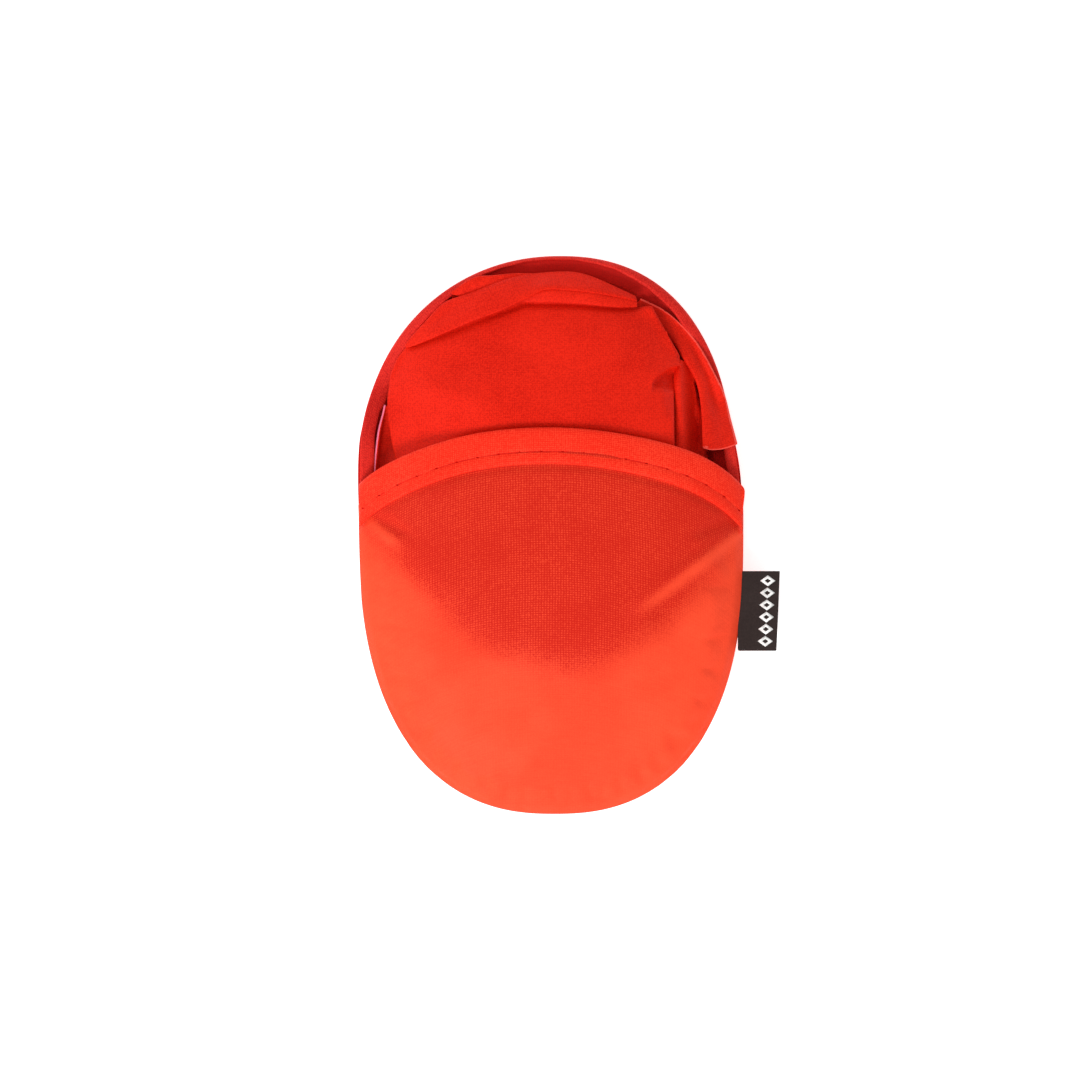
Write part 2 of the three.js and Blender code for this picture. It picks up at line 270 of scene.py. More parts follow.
def waves(x, y, size, seed):
    """Smooth unevenness between about -1 and 1, with features of about one size."""
    draw = np.random.default_rng(seed)
    total = np.zeros(np.broadcast(x, y).shape)
    for _ in range(7):
        bearing = draw.uniform(0, 2 * math.pi)
        pitch = size * draw.uniform(0.7, 1.6)
        phase = draw.uniform(0, 2 * math.pi)
        total += np.sin(2 * math.pi * (x * math.cos(bearing) + y * math.sin(bearing)) / pitch + phase)
    return total / 3.5


def spline(points, count):
    """A smooth open curve through given points, at even steps of its length."""
    points = np.array(points, float)
    if len(points) == 2:
        return points[0] + np.linspace(0, 1, count)[:, None] * (points[1] - points[0])
    padded = np.vstack([2 * points[0] - points[1], points, 2 * points[-1] - points[-2]])
    fine = []
    for a, b, c, d in zip(padded, padded[1:], padded[2:], padded[3:]):
        t = np.linspace(0, 1, 24, endpoint=False)[:, None]
        square = (2 * a - 5 * b + 4 * c - d) * t**2
        cube = (3 * b - a - 3 * c + d) * t**3
        fine.append(0.5 * (2 * b + (c - a) * t + square + cube))
    fine = np.vstack([*fine, points[-1:]])
    return resample(fine, count)


def resample(line, count):
    """The same line with its points at even steps of its length."""
    line = np.array(line, float)
    run = np.concatenate([[0], np.cumsum(np.linalg.norm(np.diff(line, axis=0), axis=1))])
    steps = np.linspace(0, run[-1], count)
    return np.stack([np.interp(steps, run, line[:, k]) for k in range(line.shape[1])], -1)


def loft(rails, along, across):
    """A grid of points between rails: smooth along each rail and smooth from rail to rail."""
    rows = np.array([spline(rail, along) for rail in rails])
    columns = [spline(rows[:, i], across) for i in range(along)]
    return np.array(columns).transpose(1, 0, 2)


def coons(top, bottom, left, right):
    """A grid inside four edge curves; top and bottom run rightwards, left and right run downwards."""
    u = np.linspace(0, 1, len(top))[None, :, None]
    v = np.linspace(0, 1, len(left))[:, None, None]
    ruled = (1 - v) * top[None] + v * bottom[None] + (1 - u) * left[:, None] + u * right[:, None]
    upper = (1 - u) * (1 - v) * top[0] + u * (1 - v) * top[-1]
    return ruled - (upper + (1 - u) * v * bottom[0] + u * v * bottom[-1])


# ---------------- meshes


def grid_faces(rows, columns, offset=0, flip=False, closed=False):
    faces = []
    last = columns if closed else columns - 1
    for i in range(rows - 1):
        for j in range(last):
            a = offset + i * columns + j
            b = offset + i * columns + (j + 1) % columns
            face = (a, a + columns, b + columns, b)
            faces.append(face[::-1] if flip else face)
    return faces


def add_piece(name, points, faces, weave=None, finish=None):
    """Makes an object from points in millimetres; weave is each point's place on the flat cloth."""
    mesh = bpy.data.meshes.new(name)
    mesh.from_pydata((np.asarray(points).reshape(-1, 3) * MM).tolist(), [], faces)
    if weave is not None:
        layer = mesh.uv_layers.new(name="weave")
        flat = np.asarray(weave).reshape(-1, 2)
        corners = np.zeros(len(mesh.loops), int)
        mesh.loops.foreach_get("vertex_index", corners)
        layer.data.foreach_set("uv", flat[corners].ravel())
    mesh.shade_smooth()
    if finish:
        mesh.materials.append(finish)
    return link_object(name, mesh)


def flat_places(grid):
    """Each grid point's place on the flat cloth, from lengths measured along the rows and columns."""
    across = np.linalg.norm(np.diff(grid, axis=1), axis=2)
    down = np.linalg.norm(np.diff(grid, axis=0), axis=2)
    u = np.concatenate([np.zeros((len(grid), 1)), np.cumsum(across, axis=1)], axis=1)
    v = np.concatenate([np.zeros((1, grid.shape[1])), np.cumsum(down, axis=0)], axis=0)
    u -= u[:, -1:] / 2
    return np.stack([u, v], -1)


def use_modifier(obj, kind, **settings):
    modifier = obj.modifiers.new(kind.lower(), kind)
    assign(modifier, **settings)
    return modifier


def smooth_and_apply(obj):
    """Subdivides the object once and keeps the result of all its modifiers as its mesh."""
    use_modifier(obj, "SUBSURF", levels=1, render_levels=1)
    graph = bpy.context.evaluated_depsgraph_get()
    graph.update()
    mesh = bpy.data.meshes.new_from_object(obj.evaluated_get(graph), depsgraph=graph)
    obj.modifiers.clear()
    old = obj.data
    obj.data = mesh
    bpy.data.meshes.remove(old)
    mesh.name = obj.name


def add_sheet(name, grids, finish, thickness, flip=False, other_side=None):
    """Open grids of cloth in one piece, given their thickness and smoothed."""
    points, faces, weave = [], [], []
    for grid in grids if isinstance(grids, list) else [grids]:
        faces += grid_faces(*grid.shape[:2], offset=len(points), flip=flip)
        points += grid.reshape(-1, 3).tolist()
        weave += flat_places(grid).reshape(-1, 2).tolist()
    obj = add_piece(name, points, faces, weave, finish)
    solid = use_modifier(obj, "SOLIDIFY", thickness=thickness * MM, offset=0)
    if other_side:
        obj.data.materials.append(other_side)
        solid.material_offset = 1
    smooth_and_apply(obj)
    return obj


# ---------------- materials


class Nodes:
    """Short names for building one material's nodes."""

    def __init__(self, name):
        self.material = bpy.data.materials.new(name)
        self.material.use_nodes = True
        self.tree = self.material.node_tree
        self.shader = self.tree.nodes["Principled BSDF"]

    def add(self, kind, inputs=None, **settings):
        node = self.tree.nodes.new("ShaderNode" + kind)
        assign(node, **settings)
        for key, value in (inputs or {}).items():
            self.feed(node.inputs[key], value)
        return node

    def feed(self, socket, value):
        if isinstance(value, bpy.types.NodeSocket):
            self.tree.links.new(value, socket)
        elif isinstance(value, bpy.types.Node):
            self.tree.links.new(value.outputs[0], socket)
        else:
            socket.default_value = value

    def math(self, operation, a, b=0.0):
        return self.add("Math", {0: a, 1: b}, operation=operation)

    def plus(self, a, b):
        return self.math("ADD", a, b)

    def minus(self, a, b):
        return self.math("SUBTRACT", a, b)

    def times(self, a, b):
        return self.math("MULTIPLY", a, b)

    def mix(self, factor, a, b):
        node = self.add("Mix", data_type="RGBA")
        self.feed(node.inputs["Factor"], factor)
        self.feed(node.inputs["A"], a)
        self.feed(node.inputs["B"], b)
        return node.outputs["Result"]

    def range(self, value, low, high, to_low=0.0, to_high=1.0):
        inputs = {"Value": value, "From Min": low, "From Max": high, "To Min": to_low, "To Max": to_high}
        return self.add("MapRange", inputs, interpolation_type="SMOOTHSTEP")

    def place(self):
        return self.add("TexCoord").outputs["Object"]

    def weave_place(self):
        return self.add("UVMap", uv_map="weave").outputs["UV"]

    def done(self, inputs):
        """Feeds the shader's own sockets and hands over the material."""
        for key, value in inputs.items():
            self.feed(self.shader.inputs[key], value)
        return self.material


def rgba(colour):
    return (*colour, 1.0)


WAVE_REPEAT = math.pi / 10  # a wave texture's bands repeat after this at scale 1
WARP_SPACING = 1.2


def weave_height(nodes, pitch):
    """Over-and-under bumps of a plain weave with its yarns a pitch apart in one way, more in the other."""
    ripple = {"Vector": nodes.weave_place(), "Distortion": 0.35, "Detail": 1.0, "Detail Scale": 0.2}
    bands = []
    for direction, spacing in (("X", WARP_SPACING * pitch), ("Y", pitch)):
        inputs = {**ripple, "Scale": WAVE_REPEAT / spacing}
        bands.append(nodes.add("TexWave", inputs, bands_direction=direction))
    return nodes.times(*bands)


def cloth(name, base, deep, pitch, bump=0.35, contrast=0.25, grain=0.15, rough=0.55, sheen=0.08,
          shade_mask=None):
    """Thin woven polyester. base is its colour, deep its colour in the weave's gaps and thicker spots, and
    also the colour of painted shade where the given shade mask is high.
    """
    nodes = Nodes(name)
    height = weave_height(nodes, pitch)
    soft = nodes.add("TexNoise", {"Vector": nodes.place(), "Scale": 55.0, "Detail": 4.0, "Roughness": 0.55})
    speck = nodes.add("TexNoise", {"Vector": nodes.place(), "Scale": 2300.0, "Detail": 1.0})
    stretched = nodes.add("Mapping", {"Vector": nodes.weave_place(), "Scale": (0.15, 2.2, 1)})
    slub = nodes.add("TexNoise", {"Vector": stretched, "Scale": 1.0, "Detail": 3.0})
    cloudy = nodes.range(soft, 0.35, 0.7, 0.0, 0.3)
    streaks = nodes.range(slub, 0.3, 0.75, 0.0, 0.15)
    amount = nodes.plus(cloudy, streaks)
    gaps = nodes.times(nodes.range(height, 0.05, 0.55, 1.0, 0.0), contrast)
    specks = nodes.range(speck, 0.32, 0.68, -grain, grain)
    # Painted shade: where the mask is high the colour goes towards deep and the weave's gaps and specks are
    # weaker
    if shade_mask:
        inner = shade_mask(nodes)
        amount = nodes.plus(nodes.times(inner, 0.46), nodes.times(amount, 0.6))
        gaps = nodes.times(gaps, nodes.range(inner, 0.0, 1.0, 0.12, 1.0))
        specks = nodes.times(specks, nodes.range(inner, 0.0, 1.0, 0.25, 1.0))
    total = nodes.add("Clamp", {"Value": nodes.plus(nodes.plus(amount, gaps), specks)})
    relief = nodes.plus(height, nodes.times(speck, 0.5))
    return nodes.done({
        "Base Color": nodes.mix(total, rgba(base), rgba(deep)),
        "Roughness": nodes.range(soft, 0.3, 0.7, rough - 0.06, rough + 0.08),
        "Normal": nodes.add("Bump", {"Height": relief, "Strength": bump, "Distance": 0.08 * MM}),
        "Sheen Weight": sheen,
        "Sheen Roughness": 0.35,
        "Sheen Tint": rgba((1.0, 0.30, 0.20)),
        "Specular IOR Level": 0.08,
    })


def plain(name, colour, roughness, gloss=0.5):
    """A finish without a weave: one colour, a little uneven."""
    nodes = Nodes(name)
    noise = nodes.add("TexNoise", {"Vector": nodes.place(), "Scale": 900.0, "Detail": 3.0})
    shade = [0.75 * c for c in colour]
    return nodes.done({
        "Base Color": nodes.mix(nodes.range(noise, 0.35, 0.65), rgba(colour), rgba(shade)),
        "Roughness": roughness,
        "Specular IOR Level": gloss,
        "Normal": nodes.add("Bump", {"Height": noise, "Strength": 0.3, "Distance": 0.05 * MM}),
    })


# The folded bag's lower border behind the front: it rises from PACKED_LOW_Y by PACKED_CURL times the
# PACKED_POWER-th power of the distance from PACKED_MIDDLE_X
PACKED_LOW_Y = -34.0
PACKED_MIDDLE_X = 2.0
PACKED_CURL = 0.0574
PACKED_POWER = 1.66

# Creases where the front stands off the bag: start, end, width, and how much of the painted shade they
# lose, which leaves a painted lighter streak
LIT_THROUGH_GAPS = [
    ((48, -2.0), (20, -22.5), 3.2, 0.85),
    ((-50, 4.8), (-38, -5.0), 3.0, 0.7),
    ((49, -20), (37, -30), 2.4, 0.4),
]


def packed_shade(nodes):
    """Painted shade and light on the front: 1 where the folded bag lies close behind and keeps light from
    shining through, down to 0 over the empty toe and at creases.
    """
    split = nodes.add("SeparateXYZ", {"Vector": nodes.place()})
    x = nodes.times(split.outputs["X"], 1 / MM)
    y = nodes.times(split.outputs["Y"], 1 / MM)
    across = nodes.math("ABSOLUTE", nodes.minus(x, PACKED_MIDDLE_X))
    curve = nodes.times(nodes.math("POWER", across, PACKED_POWER), PACKED_CURL)
    drift = nodes.add("TexNoise", {"Vector": nodes.place(), "Scale": 45.0, "Detail": 2.0})
    above = nodes.plus(nodes.minus(y, curve), nodes.range(drift, 0.25, 0.75, -2.5, 2.5))
    close = nodes.times(nodes.range(above, PACKED_LOW_Y - 10, PACKED_LOW_Y + 8), 0.84)
    near = nodes.times(nodes.range(above, PACKED_LOW_Y - 26, PACKED_LOW_Y), 0.16)
    total = nodes.plus(close, near)
    for (start_x, start_y), (end_x, end_y), width, share in LIT_THROUGH_GAPS:
        run_x, run_y = end_x - start_x, end_y - start_y
        length = math.hypot(run_x, run_y)
        dx, dy = nodes.minus(x, start_x), nodes.minus(y, start_y)
        along = nodes.plus(nodes.times(dx, run_x / length**2), nodes.times(dy, run_y / length**2))
        off = nodes.minus(nodes.times(dx, run_y / length), nodes.times(dy, run_x / length))
        beside = nodes.range(nodes.math("ABSOLUTE", off), 0.0, width, share, 0.0)
        lifted = nodes.times(beside, nodes.range(along, 0.6, 1.1, 1.0, 0.0))
        total = nodes.times(total, nodes.minus(1.0, lifted))
    return total


# The front's cloth, with painted shade where the folded bag lies behind it and painted light where light
# would shine through over the empty toe
POUCH_RED = cloth("pouch_polyester", (0.96, 0.078, 0.028), (0.56, 0.013, 0.005), pitch=0.6,
                  contrast=0.55, grain=0.2, shade_mask=packed_shade)
OUTER_RED = cloth("pouch_back_polyester", (0.95, 0.075, 0.028), (0.78, 0.030, 0.012), pitch=0.6)
# Painted shade: the inside of the back is the pouch's own cloth made darker, as if in shade
LINING_SHADE_RED = cloth("pouch_lining_painted_shade", (0.62, 0.010, 0.006), (0.42, 0.005, 0.003), pitch=0.5)
HEM_RED = cloth("hood_hem_polyester", (0.76, 0.028, 0.018), (0.48, 0.009, 0.007), pitch=0.55,
                contrast=0.4, grain=0.3)
TAPE_RED = cloth("binding_polyester", (1.0, 0.056, 0.023), (0.80, 0.017, 0.005), pitch=0.5,
                 contrast=0.75, grain=0.35)
BAG_RED = cloth("bag_polyester", (0.82, 0.018, 0.005), (0.54, 0.006, 0.001), pitch=0.5,
                contrast=0.3, grain=0.3, rough=0.6)
# Painted highlight: a pale pink for the lit edge of the selvage
SELVAGE_HIGHLIGHT_PINK = cloth("selvage_highlight_polyester", (1.0, 0.24, 0.38), (0.9, 0.14, 0.22), pitch=0.3)
# Painted highlight: a lighter red for the lit edges of the strap
EDGE_HIGHLIGHT_RED = cloth("edge_highlight_polyester", (0.94, 0.085, 0.06), (0.82, 0.05, 0.035), pitch=0.3)
THREAD_RED = cloth("thread_polyester", (0.74, 0.015, 0.007), (0.50, 0.006, 0.003), pitch=0.2, rough=0.7)
# Painted shade: a dark red for the shade inside the needle holes
HOLE_SHADE_RED = plain("needle_hole_shade", (0.50, 0.002, 0.0), roughness=0.9, gloss=0.05)
LABEL_BLACK = cloth("label_satin", (0.040, 0.027, 0.025), (0.022, 0.015, 0.014), pitch=0.3,
                    bump=0.5, rough=0.75, sheen=0.1)
LABEL_WHITE = plain("label_white_yarn", (0.93, 0.92, 0.9), roughness=0.7)


# ---------------- pouch front


def bend_with_lip(piece):
    """Bakes a piece's placement into its mesh."""
    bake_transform(piece)


def front_point(x, y, lift=0.0):
    return np.stack([x, y, dome(x, y) + CLOTH + lift], -1)


def front_wrinkles(x, y):
    """Soft creases and puckers of the front panel, in millimetres of height."""
    share, angle = share_and_angle(x, y)
    edge = smoothstep(share, 1.0, 0.9)
    creases = [  # points, height, width
        ([(48, -2.5), (40, -6.5), (31, -11.5), (24, -17.5), (18, -23)], 1.0, 2.0),
        ([(47, -9), (38, -13.5), (30, -19.5), (24, -25)], -0.6, 2.2),
        ([(48, -15), (40, -20), (33, -27)], 0.45, 2.6),
        ([(49, 3.5), (42, -1), (36, -4)], 0.45, 1.8),
        ([(-49.5, 4.5), (-44, 0), (-39, -4)], 0.7, 1.7),
        ([(-46, -12), (-36, -26), (-24, -36)], 0.45, 4.0),
        ([(44, -34), (34, -42), (20, -47)], 0.5, 4.0),
        ([(30, -46), (20, -54), (6, -58)], -0.35, 3.5),
        ([(-34, -46), (-20, -52), (-4, -52)], 0.4, 4.5),
        ([(50, -19), (44, -23), (39, -29)], 0.3, 1.2),
        ([(50, -25), (44, -30), (41, -36)], 0.3, 1.2),
        ([(49, -31), (43, -36), (37, -39)], 0.25, 1.2),
    ]
    height = sum(crease(x, y, *one) for one in creases)
    puckers = np.sin(angle * 46 + 1.3 * np.sin(angle * 11)) * smoothstep(share, 0.82, 0.985)
    near_label = np.exp(-(((y + 22) / 16) ** 2)) * (x > 0)
    height = height + puckers * (0.07 + 0.14 * near_label)
    sunk = smoothstep(packed_edge(x) - y, -7, 9)
    height = height - 0.9 * sunk * smoothstep(share, 1.0, 0.8)
    groove = 0.8 * np.exp(-(((mouth_y(x, TAPE_WIDTH + 0.3) - y) / 0.9) ** 2))
    return (height + 0.14 * waves(x, y, 26, 4)) * edge - groove


def packed_edge(x):
    """The lower border of the folded bag behind the front, as the pouch cloth shows it."""
    return PACKED_LOW_Y + PACKED_CURL * np.abs(x - PACKED_MIDDLE_X) ** PACKED_POWER


def corner_angle(side):
    """The outline's angle where the mouth's tape meets the seam, on the left (-1) or the right (1)."""
    angles = np.linspace(0.0, 0.6, 400)
    if side < 0:
        angles = math.pi - angles
    points = outline(angles)
    above = points[:, 1] - mouth_y(points[:, 0], TAPE_WIDTH * 0.5)
    return angles[np.argmax(above > 0)]


def settled(grid, growth, pressure, cap):
    """The cloth, cut a little too large and held all round, settles into its own small wrinkles."""
    rows, columns = grid.shape[:2]
    enlarge = 10.0  # the solver is steadier on a larger piece
    obj = add_piece("settling_cloth", grid * enlarge, grid_faces(rows, columns))
    index = np.arange(rows * columns).reshape(rows, columns)
    inner = index[1:-1, 1:-1].ravel()
    held = np.setdiff1d(index, inner)
    obj.vertex_groups.new(name="held").add(held.tolist(), 1.0, "REPLACE")
    settings = use_modifier(obj, "CLOTH").settings
    assign(settings, quality=7, mass=0.15, vertex_group_mass="held", shrink_min=-growth)
    assign(settings, tension_stiffness=20, compression_stiffness=12, shear_stiffness=6)
    assign(settings, bending_stiffness=0.6, use_pressure=True, uniform_pressure_force=pressure)
    settings.effector_weights.gravity = 0
    scene = bpy.context.scene
    for frame_number in range(1, 21):
        scene.frame_set(frame_number)
    mesh = obj.evaluated_get(bpy.context.evaluated_depsgraph_get()).data
    moved = np.zeros(len(mesh.vertices) * 3)
    mesh.vertices.foreach_get("co", moved)
    moved = moved.reshape(grid.shape) / (enlarge * MM) - grid
    far = np.linalg.norm(moved, axis=-1, keepdims=True)
    scene.frame_set(1)
    bpy.data.objects.remove(obj)
    return grid + moved * np.minimum(1, cap / np.maximum(far, 1e-9))


def build_front():
    """The front panel, from the middle of the mouth's tape down to the toe, tucked in at the seam."""
    left, right = corner_angle(-1) - 2 * math.pi, corner_angle(1)
    turn_left, turn_right = -math.pi * 0.72, -math.pi * 0.28
    count = 97
    seam_left = resample(outline(np.linspace(left, turn_left, 200)), count)
    seam_right = resample(outline(np.linspace(right, turn_right, 200)), count)
    seam_toe = resample(outline(np.linspace(turn_left, turn_right, 200)), count)
    x = np.linspace(seam_left[0, 0], seam_right[0, 0], 200)
    top = resample(np.stack([x, mouth_y(x, TAPE_WIDTH * 0.5)], -1), count)
    flat = coons(top, seam_toe, seam_left, seam_right)
    x, y = flat[..., 0], flat[..., 1]
    grid = front_point(x, y)
    grid[..., 2] += front_wrinkles(x, y)
    share, _ = share_and_angle(x, y)
    tuck = smoothstep(share, 0.975, 1.0)
    swell = 1 + 0.012 * smoothstep(share, 0.9, 0.985)
    grid[..., 2] -= tuck * (CLOTH + SEAM_RISE - 0.8)
    grid[..., 0] *= swell
    grid[..., 1] *= swell
    grid = settled(grid, growth=0.012, pressure=2.0, cap=0.7)
    panel = add_sheet("pouch_front", grid, POUCH_RED, thickness=0.3)
    bend_with_lip(panel)
    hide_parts("pouch_front_panel", "pouch_lip_panel", "pouch_seam_allowance", "pouch_seam_thread")


def build_tape():
    """The mouth tape: up the inside, over the edge and down the outside, in one strip."""
    columns = 161
    x = np.linspace(-HALF_WIDTH - 0.4, HALF_WIDTH + 1.4, 400)
    profile = [  # distance in from the edge, height
        (9.0, -0.9), (5.0, -0.9), (1.6, -0.85), (0.35, -0.6), (-0.05, -0.1), (0.1, 0.45),
        (0.8, 0.75), (2.6, 0.86), (5.0, 0.80), (5.8, 0.62), (6.15, 0.45), (6.5, 0.62),
        (7.3, 0.86), (8.6, 0.84), (9.2, 0.70), (9.35, 0.35), (9.0, 0.05),
    ]
    rows = []
    for inset, lift in profile:
        line = np.stack([x, mouth_y(x, inset)], -1)
        share, _ = share_and_angle(line[:, 0], line[:, 1])
        overhang = 1 + 0.019 * math.exp(-((inset / 4) ** 2)) * (line[:, 0] > 0)
        line = line / np.maximum(1, share / overhang)[:, None]
        line = resample(line, columns)
        rows.append(front_point(line[:, 0], line[:, 1], lift))
    grid = np.array(rows)
    obj = add_piece("mouth_tape", grid, grid_faces(*grid.shape[:2], flip=True), flat_places(grid), TAPE_RED)
    use_modifier(obj, "SOLIDIFY", thickness=0.22 * MM, offset=-1)
    smooth_and_apply(obj)
    bend_with_lip(obj)
    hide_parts("mouth_binding", "mouth_binding_end_left", "mouth_binding_end_right")


def capsule_chain(name, segments, radius, finish):
    """Many short round-ended threads in one mesh; segments are pairs of end points."""
    sides, rings = 8, 4
    points, faces = [], []
    for start, end in segments:
        axis = (end - start) / np.linalg.norm(end - start)
        side = np.cross(axis, (0, 0, 1.0))
        side /= np.linalg.norm(side)
        up = np.cross(side, axis)
        first = len(points)
        stations = []
        for k in range(rings + 1):
            bend = math.pi / 2 * k / rings
            stations.append((start - axis * radius * math.cos(bend), radius * math.sin(bend)))
        for k in range(rings, -1, -1):
            bend = math.pi / 2 * k / rings
            stations.append((end + axis * radius * math.cos(bend), radius * math.sin(bend)))
        points.append(stations[0][0])
        for centre, reach in stations[1:-1]:
            for s in range(sides):
                turn = 2 * math.pi * s / sides
                points.append(centre + reach * (side * math.cos(turn) + up * math.sin(turn)))
        points.append(stations[-1][0])
        inner = len(stations) - 2
        faces += grid_faces(inner, sides, first + 1, closed=True)
        last = len(points) - 1
        for s in range(sides):
            faces.append((first, first + 1 + s, first + 1 + (s + 1) % sides))
            tail = first + 1 + (inner - 1) * sides
            faces.append((last, tail + (s + 1) % sides, tail + s))
    points = np.array(points)
    return add_piece(name, points, faces, points[:, :2], finish)


def stitches(holes, gap):
    """The two ends of each stitch between needle holes in a row, a gap in from the holes."""
    for a, b in zip(holes, holes[1:]):
        run = gap * (b - a) / np.linalg.norm(b - a)
        yield a + run, b - run


def build_mouth_stitches():
    """A row of stitches along the tape, with a needle hole between each two, drawn as a dark capsule of
    painted shade.
    """
    x = np.linspace(-HALF_WIDTH, HALF_WIDTH, 500)
    line = np.stack([x, mouth_y(x, STITCH_INSET)], -1)
    share, _ = share_and_angle(line[:, 0], line[:, 1])
    line = line[share < 0.985]
    length = np.linalg.norm(np.diff(line, axis=0), axis=1).sum()
    pitch, gap = 5.4, 0.45
    thread_lift, hole_shade_lift = 0.62, 0.55
    knots = resample(line, int(length / pitch) + 1)
    segments = [[front_point(*end, thread_lift) for end in ends] for ends in stitches(knots, gap)]
    # Dark capsules of painted shade stand for the needle holes
    half = np.array((0.15, -0.05))
    holes = [[front_point(*end, hole_shade_lift) for end in (knot - half, knot + half)] for knot in knots]
    thread = capsule_chain("mouth_stitches", segments, 0.18, THREAD_RED)
    hole = capsule_chain("mouth_needle_holes", holes, 0.30, HOLE_SHADE_RED)
    for piece in (thread, hole):
        bend_with_lip(piece)
    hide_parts("mouth_thread", "mouth_thread_end_left", "mouth_thread_end_right")


# ---------------- pouch back and hood


def squircle(count):
    """A square grid of points bent into a unit disc, without a pole."""
    side = np.linspace(-1, 1, count)
    u, v = np.meshgrid(side, side)
    return u * np.sqrt(1 - v**2 / 2), v * np.sqrt(1 - u**2 / 2)


HOOD_LIFT = 1.7

# Angle round the hood in degrees, counted from the right, and how much of the hem shows there
HEM_WIDTHS = [
    (0, 3.2), (12, 2.8), (50, 2.8), (65, 2.3), (80, 1.3), (92, 0.8), (105, 0.9), (118, 1.7), (127, 2.5),
    (137, 3.0), (148, 3.7), (156, 4.5), (159.5, 4.4), (162.5, 3.5), (170, 3.6), (180, 3.8), (195, 3.6),
]


def hood_lift(angle):
    """How far the hood's edge stands above its CAD height, so that its lining lies in shade."""
    return HOOD_LIFT * smoothstep(np.sin(angle), 0.35, 0.8)


def build_back():
    """The back panel: flat where the pouch rests, rising to the seam and lifted a little round the hood."""
    u, v = squircle(121)
    share = np.hypot(u, v)
    bearing = np.arctan2(v, u)
    flat = outline(bearing) * share[..., None]
    x, y = flat[..., 0], flat[..., 1]
    _, angle = share_and_angle(x, y)
    in_hood = smoothstep(np.sin(angle), 0.1, 0.25)
    pucker = np.sin(angle * 52 + np.sin(angle * 9)) * smoothstep(share, 0.86, 0.99) * 0.12 * (1 - in_hood)
    z = np.maximum(0.0, dish(x, y) + pucker * (1 - smoothstep(share, 0.985, 1.0)))
    z += hood_lift(angle) * smoothstep(share, 0.86, 1.0)
    z += 0.05 * smoothstep(share, 0.72, 0.8) * waves(x, y, 20, 9)
    z += 0.7 * smoothstep(share, 0.975, 1.0) * (1 - in_hood)
    swell = 1 + 0.010 * smoothstep(share, 0.9, 0.985) * (1 - 0.7 * in_hood)
    grid = np.stack([x * swell, y * swell, z + 0.2], -1)
    # The inner side takes the darker copy of the cloth, as painted shade
    obj = add_sheet("pouch_back", grid, LINING_SHADE_RED, thickness=0.3, flip=True, other_side=OUTER_RED)
    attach(obj, "pouch")
    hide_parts("pouch_back_panel")


def build_hem():
    """The hood's turned hem: a flattened roll round the edge, broader at the left where it leans in."""
    angles = np.radians(np.linspace(-12, 192, 261))
    edge = outline(angles)
    run = np.gradient(edge, axis=0)
    outward = np.stack([run[:, 1], -run[:, 0]], -1) / np.linalg.norm(run, axis=1)[:, None]
    widths = np.interp(np.degrees(angles), *np.array(HEM_WIDTHS).T)
    rim = rim_height(angles) + hood_lift(angles) + 0.25
    profile = [  # distance in from the edge, share of the hem's width to add to it, height
        (0.9, 0.0, -0.9), (0.5, 0.0, -0.8), (0.05, 0.0, -0.3), (-0.1, 0.0, 0.25), (0.1, 0.0, 0.75),
        (0.55, 0.0, 1.0), (0.35, 0.35, 1.1), (0.1, 0.7, 1.12), (-0.25, 0.97, 1.02), (0.0, 1.0, 0.7),
        (-0.05, 1.0, 0.3), (-0.9, 1.0, 0.0),
    ]
    slope = 0.60 * smoothstep(np.sin(angles), 0.35, 0.9) - 0.16
    rows = []
    for inset, share, height in profile:
        reach = inset + share * widths
        wave = 0.07 * np.sin(angles * 31 + 2 * share) + 0.05 * np.sin(angles * 57)
        place = edge - outward * (reach + wave * share)[:, None]
        rows.append(np.column_stack([place, rim + height + slope * reach]))
    grid = np.array(rows)
    obj = add_sheet("hood_hem", grid, HEM_RED, thickness=0.2)
    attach(obj, "pouch")
    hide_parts("hood_binding")
    declare_strip(grid)


def build_hood_stitches():
    """A row of fine stitches along the inner edge of the hood's hem."""
    angles = np.linspace(0.3, math.pi - 0.3, 600)
    line = resample(outline(angles) * 0.93, 61)

    def on_lining(x, y):
        share, angle = share_and_angle(x, y)
        lift = hood_lift(angle) * smoothstep(share, 0.86, 1.0)
        return np.array([x, y, dish(x, y) + lift + 0.42])

    segments = [[on_lining(*end) for end in ends] for ends in stitches(line, 0.35)]
    thread = capsule_chain("hood_stitches", segments, 0.13, THREAD_RED)
    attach(thread, "pouch")
    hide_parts("hood_thread")


# ---------------- label


LABEL_FOLD_HALF = 0.35
LABEL_INNER_X = LABEL_LOW[0] - 2.2
LABEL_OUTER_X = LABEL_HIGH[0] - LABEL_FOLD_HALF
LABEL_MIDDLE_Z = (LABEL_LOW[2] + LABEL_HIGH[2]) / 2


def label_slant(y):
    """How far the ribbon's fold is drawn in towards its lower end."""
    return 0.9 * (LABEL_HIGH[1] - y) / (LABEL_HIGH[1] - LABEL_LOW[1])


def label_wave(x, y):
    """The ribbon's slight wave, growing towards its fold."""
    along = (x - LABEL_INNER_X) / (LABEL_OUTER_X - LABEL_INNER_X)
    return 0.25 * along * np.sin((y - LABEL_LOW[1]) * 0.22)


def bend_at_seam(piece):
    """Bakes a piece's placement into its mesh."""
    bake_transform(piece)


